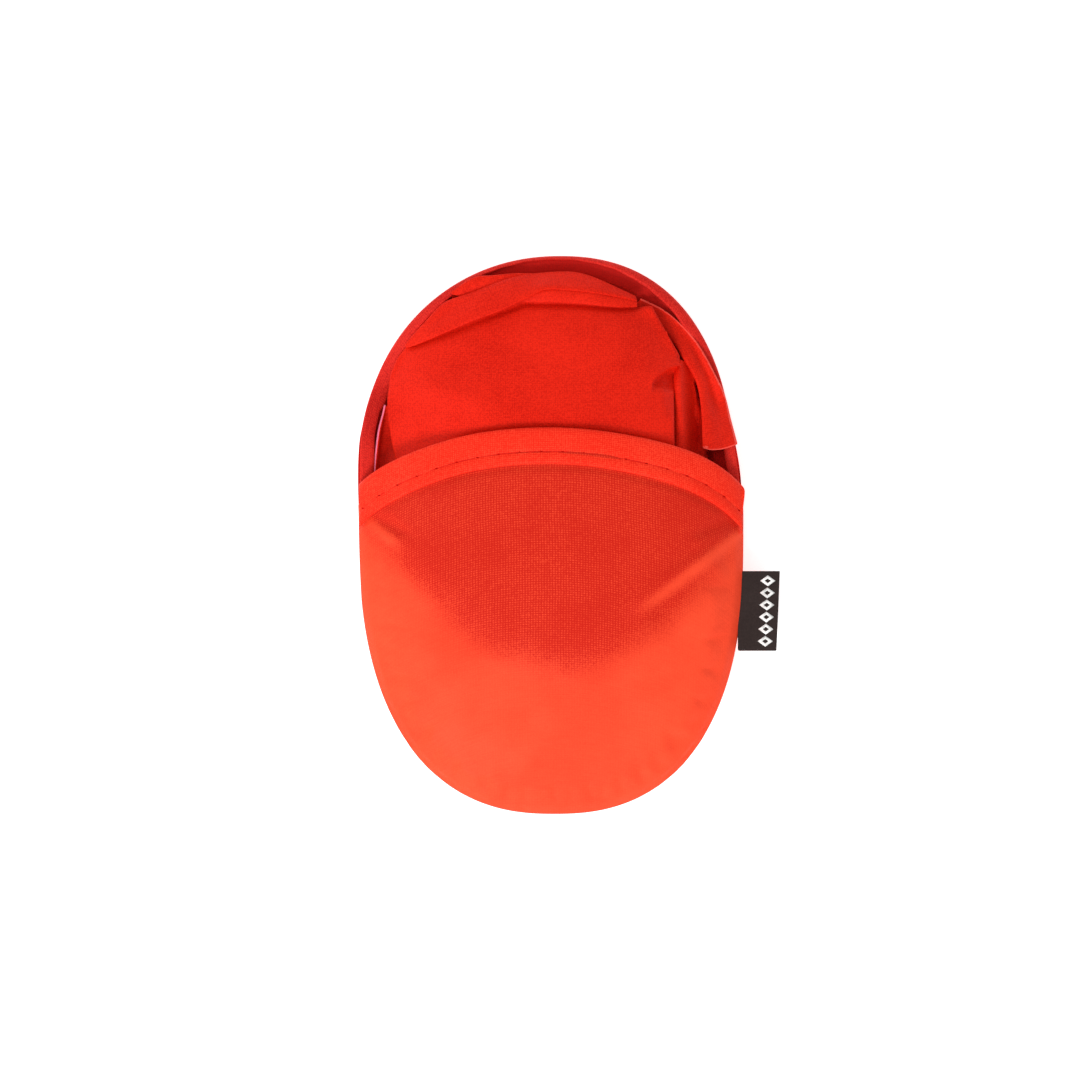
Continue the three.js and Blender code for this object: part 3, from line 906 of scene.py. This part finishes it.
def build_label():
    """A ribbon folded in half: out of the seam along its lower face, round the fold and back."""
    inner, outer, half = LABEL_INNER_X, LABEL_OUTER_X, LABEL_FOLD_HALF
    turns = np.linspace(-math.pi / 2, math.pi / 2, 9)
    profile = [(x, -half) for x in np.linspace(inner, outer, 16)]
    profile += [(outer + half * math.cos(t), half * math.sin(t)) for t in turns[1:-1]]
    profile += [(x, half) for x in np.linspace(outer, inner, 16)]
    rows = []
    for y in np.linspace(LABEL_HIGH[1], LABEL_LOW[1], 33):
        squeeze = label_slant(y) / (outer - inner)
        rows.append([(x - squeeze * (x - inner), y, LABEL_MIDDLE_Z + z) for x, z in profile])
    grid = np.array(rows)
    grid[..., 2] += label_wave(grid[..., 0], grid[..., 1])
    obj = add_sheet("label", grid, LABEL_BLACK, thickness=0.22, flip=True)
    bend_at_seam(obj)
    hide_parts("label_ribbon")


def build_label_motif():
    """A plain woven border of lozenges, standing just proud of the ribbon's upper face."""
    margin_x, margin_y, proud = 2.7, 2.6, 0.09
    wide, tall, opening = 2.0, 1.45, 0.42
    points, faces = [], []
    for y in np.linspace(LABEL_HIGH[1] - margin_y, LABEL_LOW[1] + margin_y, 6):
        x = LABEL_OUTER_X - margin_x - label_slant(y)
        corners = [(-wide, 0), (0, -tall), (wide, 0), (0, tall)]
        ring = [(x + scale * dx, y + scale * dy) for scale in (1, opening) for dx, dy in corners]
        first = len(points)
        for level in (0.0, 0.1):
            base = LABEL_MIDDLE_Z + LABEL_FOLD_HALF + proud + level
            points += [(px, py, base + label_wave(px, py)) for px, py in ring]
        for s in range(4):
            t = (s + 1) % 4
            a, b, c, d = first + s, first + t, first + 4 + t, first + 4 + s
            faces += [(a, d, c, b), (a + 8, b + 8, c + 8, d + 8)]
            faces += [(a, b, b + 8, a + 8), (d, d + 8, c + 8, c)]
    obj = add_piece("label_motif", points, faces, np.array(points)[:, :2], LABEL_WHITE)
    bend_at_seam(obj)


# ---------------- folded bag


PACKET_FLOOR = 3.1
PACKET_TOP_DEPTH = 1.9
LEAF_DEPTH = 1.3
LEAF_MIDDLE = (-4.0, 14.0)
WIDE_MIDDLE = (0.0, 14.0)
FOLD_LAYERS = 6
WIDE_LAYERS = 2


def packet_top(x, y):
    """The packet's smooth upper surface, close under the pouch's front and carried on above the mouth."""
    return np.maximum(PACKET_FLOOR + 0.9, dome(x, y) - PACKET_TOP_DEPTH)


def packet_outline(toe, right, top, left, count):
    """A closed outline: a rounded toe, then up the right side, over the top and down the left side."""
    middle_x, half_width, depth = toe
    turn = np.linspace(0, math.pi, 40)
    end = np.stack([middle_x - half_width * np.cos(turn), -3 - depth * np.sin(turn)], -1)
    return resample(np.vstack([end, right, top, left, end[:1]]), count + 1)[:-1]


def leaf_outline(count):
    """The broad front leaf and the narrower layers under it."""
    right = [(32.7, 10), (32.7, 24), (32.8, 36), (33.1, 42.5), (34.2, 44.6), (34.5, 47.4), (33.2, 49.6)]
    top = [(30.1, 55), (26.8, 60.9), (22.9, 60.3), (18, 62.3), (10, 64.5), (-2, 65), (-18, 60.5)]
    left = [(-30, 55.8), (-38.4, 50.4), (-41.2, 46.8), (-42.8, 42.8), (-43.6, 36), (-43.2, 30), (-42.2, 24),
            (-41.2, 19), (-41, 10)]
    return packet_outline((-4.15, 36.85, 30), right, top, left, count)


def wide_outline(count):
    """The lowest layers, which reach under the handle and the side folds."""
    right = [(42.5, 10), (42.2, 24), (41, 34), (38.2, 43), (33.2, 50), (28, 55.5)]
    top = [(22, 58.8), (10, 61.5), (-4, 62), (-18, 58), (-30, 53), (-37, 48)]
    left = [(-40, 44), (-42, 38), (-42.6, 30), (-41.6, 24), (-40.8, 19), (-40.6, 10)]
    return packet_outline((0.95, 41.55, 31), right, top, left, count)


FLAP_EDGE = [(34.4, 44.6), (32.1, 44.2), (30.1, 43.2), (28.2, 41.8), (27, 40.5), (26.6, 39), (26.8, 36.8)]


def leaf_top(x, y, under_flap=1.0):
    """The front leaf's upper skin: the packet's top with its creases and dips, sunk under the flap."""
    height = 0.12 * waves(x, y, 24, 12)
    tip = (26.8, 61.0)
    creases = [  # points, height, width, share of the length over which the ends fade
        ([tip, (20, 50), (12, 36)], 0.55, 2.6, 0.45),
        ([tip, (26, 51), (23, 42), (17, 33)], 0.40, 2.0, 0.45),
        ([tip, (14, 54), (-2, 47)], 0.40, 3.0, 0.45),
        ([(-44, 40), (-30, 38), (-12, 33)], 0.85, 3.4, 0.45),
        ([(-38, 49), (-22, 46), (-8, 44)], -0.45, 3.2, 0.45),
        ([(-30, 54), (-14, 50), (4, 47)], -0.35, 3.0, 0.45),
        ([(-38.6, 49.4), (-28.7, 52.7), (-13.2, 58.7), (-5.4, 61.6)], -0.9, 0.8, 0.08),
        ([(-7.5, 61.0), (6, 60.7), (17.5, 59.8), (25, 60.2)], -1.2, 0.8, 0.08),
        ([(26.8, 61.4), (30.7, 55.2), (34.9, 47.9)], 0.9, 1.8, 0.08),
    ]
    for one in creases:
        height = height + crease(x, y, *one)
    height = height + under_flap * step_down(x, y, FLAP_EDGE, 2.6, 0.45, 6.0)
    above_mouth = y - mouth_y(x)
    from_mouth = np.maximum(0, above_mouth)
    swell = 1.35 * np.exp(-((from_mouth / 14) ** 2)) * smoothstep(above_mouth, -0.8, 1.2)
    height = height + swell * (1 - smoothstep(-x, 16, 34))
    height = height - 1.5 * smoothstep(-x, 22, 40) * np.exp(-((from_mouth / 5) ** 2))
    height = height - 1.5 * smoothstep(-x, 35, 42) * (1 - smoothstep(y, 27, 40))
    height = height + 1.2 * np.exp(-((x - 26.8) ** 2 + (y - 60.9) ** 2) / 9)
    height = height - 1.4 * smoothstep(x, 29.0, 32.7) * smoothstep(y, 30, 36) * (1 - smoothstep(y, 42, 44))
    return packet_top(x, y) + height


def leaf_underside(x, y):
    return leaf_top(x, y) - LEAF_DEPTH


def fold_skin(share, seed):
    """The height function of a skin at a share of the way up from the packet's floor to the leaf."""
    def height(x, y):
        top = np.maximum(leaf_underside(x, y) - 0.3, PACKET_FLOOR + 1)
        return PACKET_FLOOR + (top - PACKET_FLOOR) * share + 0.1 * waves(x, y, 18, seed)
    return height


def closed_layer(name, loop, centre, top, bottom, count, roundness):
    """Two skins of one folded layer, meeting in a rounded fold all round."""
    u, v = squircle(count)
    share = np.hypot(u, v)
    bearing = (np.arctan2(v, u) / (2 * math.pi)) % 1.0
    ring = np.vstack([loop, loop[:1]])
    steps = np.linspace(0, 1, len(ring))
    edge = np.stack([np.interp(bearing, steps, ring[:, k]) for k in range(2)], -1)
    flat = np.array(centre) + share[..., None] * (edge - np.array(centre))
    x, y = flat[..., 0], flat[..., 1]
    upper, lower = top(x, y), bottom(x, y)
    middle = (upper + lower) / 2
    depth = np.clip((1 - share) / roundness, 0, 1)
    full = np.sqrt(1 - (1 - depth) ** 2)
    over = np.stack([x, y, middle + (upper - middle) * full], -1)
    under = np.stack([x, y, middle + (lower - middle) * full], -1)
    rim = np.ones(share.shape, bool)
    rim[1:-1, 1:-1] = False
    lower_index = np.arange(count * count).reshape(count, count)
    lower_index[~rim] = count * count + np.arange((~rim).sum())
    points = np.vstack([over.reshape(-1, 3), under[~rim]])
    faces = grid_faces(count, count, flip=True)
    for i in range(count - 1):
        for j in range(count - 1):
            quad = lower_index[[i, i + 1, i + 1, i], [j, j, j + 1, j + 1]]
            faces.append(tuple(quad.tolist()))
    return add_piece(name, points, faces, points[:, :2], BAG_RED)


def build_packet():
    """The front leaf, and the folded layers of the bag's panels under it."""
    loop = leaf_outline(320)
    leaf = closed_layer("bag_front_leaf", loop, LEAF_MIDDLE, leaf_top, leaf_underside, 121, 0.016)
    smooth_and_apply(leaf)
    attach(leaf, "bag")
    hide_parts("bag_front_panel")
    for k in range(FOLD_LAYERS):
        wide = k < WIDE_LAYERS
        middle = np.array(WIDE_MIDDLE if wide else LEAF_MIDDLE)
        whole = wide_outline(240) if wide else leaf_outline(240)
        inset = 0.98 - 0.012 * k + 0.012 * math.sin(2.4 * k)
        shift = np.array((0.5 * math.sin(1.7 * k), -0.3 - 0.3 * k))
        loop = middle + shift + (whole - middle) * inset
        upper, lower = fold_skin((k + 0.86) / FOLD_LAYERS, 30 + k), fold_skin(k / FOLD_LAYERS, 30 + k)
        layer = closed_layer(f"bag_fold_layer_{k + 1}", loop, middle, upper, lower, 65, 0.05)
        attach(layer, "bag")
        if k == 0:
            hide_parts("bag_back_panel")
        elif k == FOLD_LAYERS - 1:
            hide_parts("bag_handle_back", "bag_bottom_seam")


def on_packet(points):
    """Rail points as (x, y, height above the packet's smooth top)."""
    points = np.array(points, float)
    points[:, 2] += packet_top(points[:, 0], points[:, 1])
    points[:, 2] = np.maximum(points[:, 2], PACKET_FLOOR + 0.1)
    return points


def lofted(rails, along, across, wave, seed):
    """A loft between rails of points on the packet, a little uneven."""
    grid = loft([on_packet(rail) for rail in rails], along, across)
    grid[..., 2] += wave * waves(grid[..., 0], grid[..., 1], 9, seed)
    return grid


def add_fold(name, grids, replaced=None, thickness=0.28):
    """A loose fold or strap of the bag's cloth."""
    obj = add_sheet(name, grids, BAG_RED, thickness=thickness, flip=True)
    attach(obj, "bag")
    if replaced:
        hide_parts(replaced)
    return obj


def declare_strip(grids):
    """Works out the longest row of a folded strip's grids and keeps nothing of it. No side of a sheet
    may be stated as less than 10 mm.
    """
    grids = grids if isinstance(grids, list) else [grids]
    length = max(np.linalg.norm(np.diff(grid, axis=1), axis=2).sum(1).max() for grid in grids)
    for grid in grids:
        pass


# Each rail runs along a piece, and each of its points is x, y and the height above the packet's smooth top.
ROLL_STRIP = [
    [(-37.6, 49.4, -2.6), (-35.4, 50.7, -2.8), (-31, 53.8, -3), (-25.6, 57.4, -3), (-19, 60, -3),
     (-11.2, 63, -3), (-4.2, 64.8, -3), (4.6, 65.2, -3), (10.4, 64.4, -2.8), (17.6, 62.2, -2.4),
     (21.6, 61, -2)],
    [(-38.6, 50, -0.9), (-36.8, 51.9, -0.9), (-32.8, 55.8, -0.9), (-27.8, 60.8, -0.9),
     (-20.7, 63.5, -0.4), (-12.1, 66.8, -0.2), (-4.5, 68.6, -0.6), (5, 69.1, -0.8), (11, 67.7, -0.8),
     (18.4, 64.3, -0.8), (22.2, 62.6, -0.8)],
    [(-38.8, 50.2, 0.1), (-37, 52.5, 0.4), (-33.4, 56.4, 0.7), (-28.2, 61.5, 1), (-21, 64, 1.9),
     (-12.2, 67.3, 2.3), (-4.6, 69.1, 1.2), (5, 69.6, 1.1), (11, 68.3, 1), (18.6, 64.9, 0.7),
     (22.5, 63.1, 0.4)],
    [(-38.7, 50, 0.3), (-36.6, 51.8, 0.9), (-32.2, 55.2, 1.5), (-25.8, 59.8, 1.9), (-18.6, 62.6, 2.5),
     (-10.2, 66.2, 2.8), (-3.6, 67.6, 2.2), (5, 67.9, 2.1), (11, 66.8, 1.8), (18.7, 64.1, 1.3),
     (22.7, 62.7, 0.7)],
    [(-38.6, 49.8, 0.3), (-36, 51, 0.9), (-30.4, 54.2, 1.6), (-22.8, 57.6, 2.1), (-15, 60.4, 2.6),
     (-7.4, 63.8, 3), (-1.8, 65.6, 3), (5, 65.6, 2.6), (11, 65, 2.3), (18.8, 63.2, 1.6),
     (22.8, 62.2, 0.9)],
    [(-38.5, 49.6, 0.1), (-35.6, 50.4, 0.6), (-28.7, 53, 1.3), (-20.9, 56.2, 1.8), (-13.2, 59, 2.3),
     (-5.4, 62.7, 2.7), (-1.5, 64.5, 2.9), (5, 64.4, 2.5), (11, 63.8, 2.2), (18.8, 62.6, 1.5),
     (22.9, 61.8, 0.8)],
    [(-38.4, 49.9, -0.5), (-35.6, 51.1, -0.1), (-28.9, 54, 0.3), (-21.3, 57.2, 0.8), (-13.8, 60.2, 1.3),
     (-6.4, 63.8, 1.9), (-1.9, 65.2, 2.2), (5, 65, 1.9), (11, 64.4, 1.6), (18.6, 63.1, 1),
     (22.5, 62.2, 0.4)],
    [(-38.2, 50.4, -2), (-35.2, 51.8, -2), (-28.2, 54.8, -2.2), (-20.6, 58, -2.2), (-13, 61, -2),
     (-6, 64.2, -1.2), (-1.8, 65.4, -0.6), (5, 65.2, -0.6), (11, 64.6, -0.6), (18.4, 63.2, -0.8),
     (22.1, 62.2, -0.8)],
]

ROLL_FACET = [
    [(-10, 63.2, 0.9), (-2, 65, 1.9), (6, 64.9, 1.7), (12, 64.2, 1.4), (19, 62.8, 0.9), (22.6, 62, 0.4)],
    [(-9.6, 62.6, 1.3), (-1.8, 64.2, 2.5), (6, 64, 2.2), (12, 63.4, 1.9), (19, 62.2, 1.2),
     (22.9, 61.6, 0.7)],
    [(-8.8, 61.9, 1.2), (-1.4, 62.6, 1.7), (6, 62.4, 1.6), (12, 61.8, 1.4), (18, 61.2, 1),
     (22.9, 61, 0.6)],
    [(-7.3, 61.4, 0.7), (-1, 61.4, 0.8), (6, 61.1, 0.7), (11.5, 60.6, 0.6), (17.5, 60.1, 0.5),
     (22.9, 60.3, 0.3)],
    [(-7.6, 62.1, -0.2), (-1, 62.2, -0.1), (6, 61.9, -0.1), (11.5, 61.5, -0.1), (17.5, 61, -0.2),
     (22.5, 61, -0.3)],
]

ROLL_CORNER = [
    [(-26.4, 62.6, -1), (-19.8, 66.6, -0.8), (-14.5, 67.8, -0.8), (-8.4, 68.3, -0.8), (-2, 68.4, -1)],
    [(-26.6, 64.4, 0.1), (-20.6, 68.2, 0.8), (-15.1, 68.8, 0.9), (-9, 69.3, 0.9), (-2, 69.2, 0.4)],
    [(-26.4, 63.8, 0.5), (-20.4, 66.6, 1.3), (-14.8, 67.5, 1.4), (-8.6, 68.1, 1.5), (-2, 68.1, 0.9)],
    [(-25.2, 63.5, 0.6), (-19.8, 64.4, 1), (-14, 65.2, 1.1), (-8, 66.4, 1.1), (-2, 66.8, 0.6)],
    [(-23, 62.9, 0.2), (-18.6, 63, 0.3), (-13, 63.8, 0.4), (-7.4, 65, 0.4), (-2, 65.6, 0)],
]


def build_top_fold():
    """The crossed roll along the top: a strip with a ridge, a facet below it and a corner behind it."""
    strip = lofted(ROLL_STRIP, along=101, across=45, wave=0.08, seed=21)
    facet = lofted(ROLL_FACET, along=61, across=21, wave=0.06, seed=27)
    corner = lofted(ROLL_CORNER, along=41, across=21, wave=0.08, seed=29)
    obj = add_fold("bag_top_fold_roll", [strip, facet, corner], "bag_top_fold")
    declare_strip([strip, facet, corner])


STRAP = [
    [(22.6, 60.8, -3.6), (27.8, 57.6, -3.8), (32.8, 51.4, -4), (35.5, 47.2, -4.4), (39.1, 41.2, -4.8),
     (40.6, 36.5, -5), (41.1, 30.5, -5.2), (41.2, 22.9, -5.2)],
    [(22.4, 60.8, -2.9), (27.6, 57.6, -3), (32.4, 51.4, -2.6), (34.9, 47.2, -2), (38.4, 41.2, -1.5),
     (39.9, 36.5, -1.3), (40.4, 30.5, -1.2), (40.5, 22.9, -1.1)],
    [(22.8, 61.6, -2.4), (28.2, 58, -2.4), (32.8, 51.9, -1.9), (34.9, 47.9, -1.2), (38.3, 42, -0.4),
     (39.6, 36.7, 0), (40.1, 30.6, 0.2), (40.2, 22.6, 0.3)],
    [(23.3, 62, -2.2), (29.3, 58.2, -2), (34.6, 52.1, -1.2), (37.2, 47.4, -0.3), (40, 41.4, 0.3),
     (41.3, 36.4, 0.6), (42, 30.3, 0.9), (42.3, 22.1, 1)],
    [(23.7, 62.5, -2.3), (30, 58.8, -1.9), (36, 52.9, -1.1), (38.9, 48, -0.5), (42, 41.6, -0.1),
     (43.6, 36.4, 0.2), (44.8, 30.3, 0.7), (45.6, 22.4, 1)],
    [(24, 62.8, -2.1), (30.6, 59.3, -1.6), (36.5, 53.9, -0.7), (40.2, 48.6, -0.2), (43.5, 42.2, 0.2),
     (45.8, 37, 0.6), (47.3, 30.6, 1.4), (48.9, 23.5, 2.1)],
    [(24, 62.4, -2.9), (30.7, 59, -2.5), (36.8, 53.5, -1.7), (40.5, 48.2, -1.2), (43.9, 41.9, -0.9),
     (46.3, 36.8, -0.5), (47.8, 30.6, 0.4), (49.4, 23.8, 1.1)],
]


def build_handle():
    """The strap down the right-hand side, with a painted highlight along its inner side and its end, where
    the thin cloth's edge catches the light.
    """
    strap = lofted(STRAP, along=81, across=39, wave=0.05, seed=23)
    obj = add_fold("bag_handle_strap", strap, "bag_handle_front", thickness=0.34)
    obj.data.materials.append(EDGE_HIGHLIGHT_RED)
    # Faces near these edge lines take the painted highlight
    cut = np.vstack([resample(strap[-3, :, :2], 200), resample(strap[:, -1, :2], 60)])
    edge_width = 0.28
    for face in obj.data.polygons:
        if np.hypot(*(cut - np.array(face.center[:2]) / MM).T).min() < edge_width:
            face.material_index = 1
    declare_strip(strap)


def build_flap():
    """The curled lower corner of the front leaf's upper fold, standing a little off the cloth below it."""
    edge = resample(spline(FLAP_EDGE, 60), 41)
    back = resample(spline([(30.6, 54.0), (24.0, 51.5), (18.5, 46.0), (17.0, 39.0), (19.5, 32.5)], 60), 41)
    rise = 0.85 * (1 - smoothstep(np.linspace(0, 1, 41), 0.45, 0.95))

    def row(share, lift):
        """The leaf's skin at a share of the way from the flap's edge to its root, raised by lift."""
        place = edge + (back - edge) * share
        return np.column_stack([place, leaf_top(*place.T, under_flap=0.0) + lift])

    turned_in = [row(share, rise + drop) for share, drop in [(0.06, -0.75), (0.02, -0.55), (0.0, -0.25)]]
    upper = [row(share, rise * (1 - share) ** 3 - 0.10) for share in np.linspace(0.004, 1, 37) ** 1.4]
    patch = np.array(turned_in + upper)
    obj = add_fold("bag_leaf_flap", patch, thickness=0.12)
    declare_strip(patch)


SIDE_FOLD = [
    [(33.4, 47, -3.2), (32.6, 42, -3), (32.5, 34, -3), (32.5, 22, -3), (32.5, -4, -3)],
    [(34, 46.8, -2.2), (33.1, 42, -1.9), (32.9, 34, -1.8), (33, 22, -1.8), (33, -4, -1.8)],
    [(34.4, 46.4, -1.2), (34.2, 42, -0.7), (34.3, 34, -0.5), (34.6, 25, -0.6), (34.8, -4, -0.9)],
    [(34.9, 46.2, -1.5), (35.2, 42, -1.3), (35.4, 34, -1.3), (35.8, 25, -1.5), (36, -4, -1.6)],
    [(36.2, 45.6, -2.4), (37.2, 40.5, -3), (37.4, 33, -3.8), (37.4, 25, -4.2), (37.4, -4, -4.2)],
    [(37.6, 44, -3.4), (38.6, 39, -4.4), (39.2, 32, -5.2), (39.2, 25, -5.4), (39.2, -4, -5.4)],
]

SELVAGE = [
    [(-44.5, 34.5, -4.4), (-44.9, 32.2, -2.6), (-46.1, 26.7, -2.3), (-46.9, 18.5, -2.3), (-47.3, 8, -2.4),
     (-47.1, -4, -2.6)],
    [(-43.9, 34.4, -4.4), (-44.3, 32.1, -2.6), (-45.4, 26.6, -2.3), (-46.3, 18.5, -2.3), (-46.7, 8, -2.4),
     (-46.5, -4, -2.6)],
    [(-43.4, 34.2, -6), (-43.6, 32, -6), (-44.5, 26.4, -6), (-45.2, 18.5, -6), (-45.6, 8, -6),
     (-45.4, -4, -6)],
    [(-35.2, 34, -6.6), (-35.3, 32, -6.6), (-35.9, 26, -6.6), (-36.6, 18.5, -6.6), (-37, 8, -6.6),
     (-36.8, -4, -6.6)],
]


def build_side_folds():
    """The standing fold beside the leaf on the right, and the selvage in the gap on the left, with a
    painted highlight along its edge.
    """
    tent = lofted(SIDE_FOLD, along=61, across=25, wave=0.12, seed=25)
    obj = add_fold("bag_side_fold", tent, "bag_side_seam_right")
    declare_strip(tent)
    tuck = lofted(SELVAGE, along=41, across=33, wave=0.04, seed=26)
    obj = add_fold("bag_selvage", tuck, "bag_side_seam_left")
    obj.data.materials.append(SELVAGE_HIGHLIGHT_PINK)
    # Faces within half a millimetre of the selvage's edge take the painted highlight
    for face in obj.data.polygons:
        x, y = face.center.x / MM, face.center.y / MM
        edge_x = np.interp(y, tuck[0, ::-1, 1], tuck[0, ::-1, 0])
        if x < edge_x + 0.5:
            face.material_index = 1
    declare_strip(tuck)


add_stage()
build_back()
build_hem()
build_front()
build_tape()
build_mouth_stitches()
build_hood_stitches()
build_label()
build_label_motif()
build_packet()
build_top_fold()
build_handle()
build_side_folds()
build_flap()
